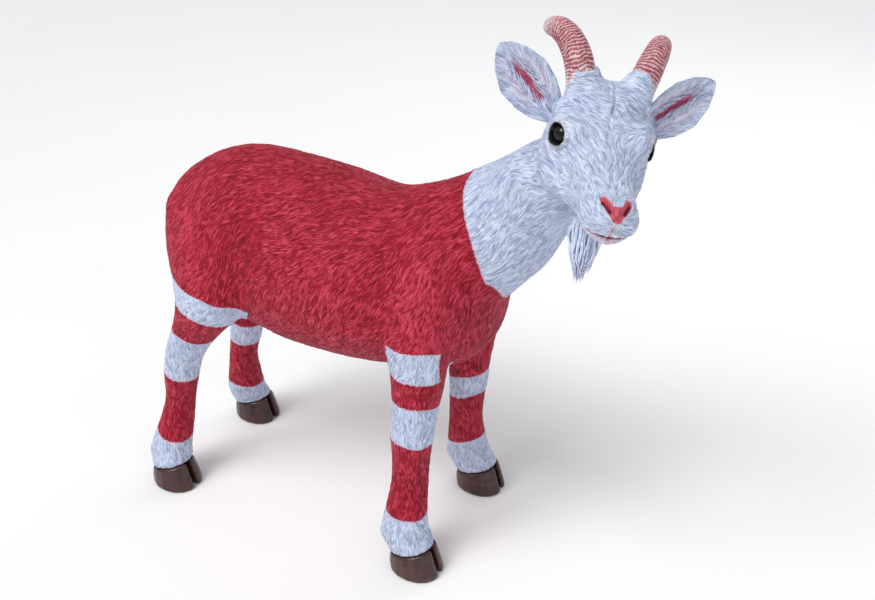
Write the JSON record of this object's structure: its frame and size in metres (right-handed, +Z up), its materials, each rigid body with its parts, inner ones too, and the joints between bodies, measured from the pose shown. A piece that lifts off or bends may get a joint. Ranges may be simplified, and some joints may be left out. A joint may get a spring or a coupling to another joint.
{
  "type": "yule goat statue",
  "caption": "Standing goat kid statue with horns, a beard, a turned head and a striped coat, on four cloven hooves.",
  "frame": {"origin": "centre of the statue's box, on the ground under the hooves", "axes": "+Z up, +X the way the body faces, +Y the goat's left"},
  "size_m": [0.6519, 0.2659, 0.6473],
  "materials": {
    "coat_red": "satin paint on cast resin",
    "coat_white": "satin paint on cast resin",
    "horn_pink": "dry-brushed paint on cast resin",
    "hoof_brown": "satin varnish on cast resin",
    "eye_black": "gloss",
    "glass_tape": "resin-soaked glass tape",
    "steel": "drawn",
    "insert_brass": "turned"
  },
  "bodies": {
    "root": {"body_shell_left": "coat_red", "body_shell_right": "coat_red", "body_seam_tape": "glass_tape", "neck_shell": "coat_white", "neck_joint_sleeve": "glass_tape", "head_joint_sleeve": "glass_tape", "head_shell": "coat_white", "eye_left": "eye_black", "eye_right": "eye_black", "ear_left": "coat_white", "ear_right": "coat_white", "horn_left": "horn_pink", "horn_right": "horn_pink", "beard": "coat_white", "tail": "coat_red", "horn_dowels": "steel", "ear_dowels": "steel", "beard_dowel": "steel", "tail_dowel": "steel", "leg_front_left": "coat_red", "leg_front_right": "coat_red", "leg_rear_left": "coat_red", "leg_rear_right": "coat_red", "rod_front_left": "steel", "rod_front_right": "steel", "rod_rear_left": "steel", "rod_rear_right": "steel", "hoof_front_left": "hoof_brown", "hoof_front_right": "hoof_brown", "hoof_rear_left": "hoof_brown", "hoof_rear_right": "hoof_brown", "insert_front_left": "insert_brass", "insert_front_right": "insert_brass", "insert_rear_left": "insert_brass", "insert_rear_right": "insert_brass"}
  },
  "joints": []
}
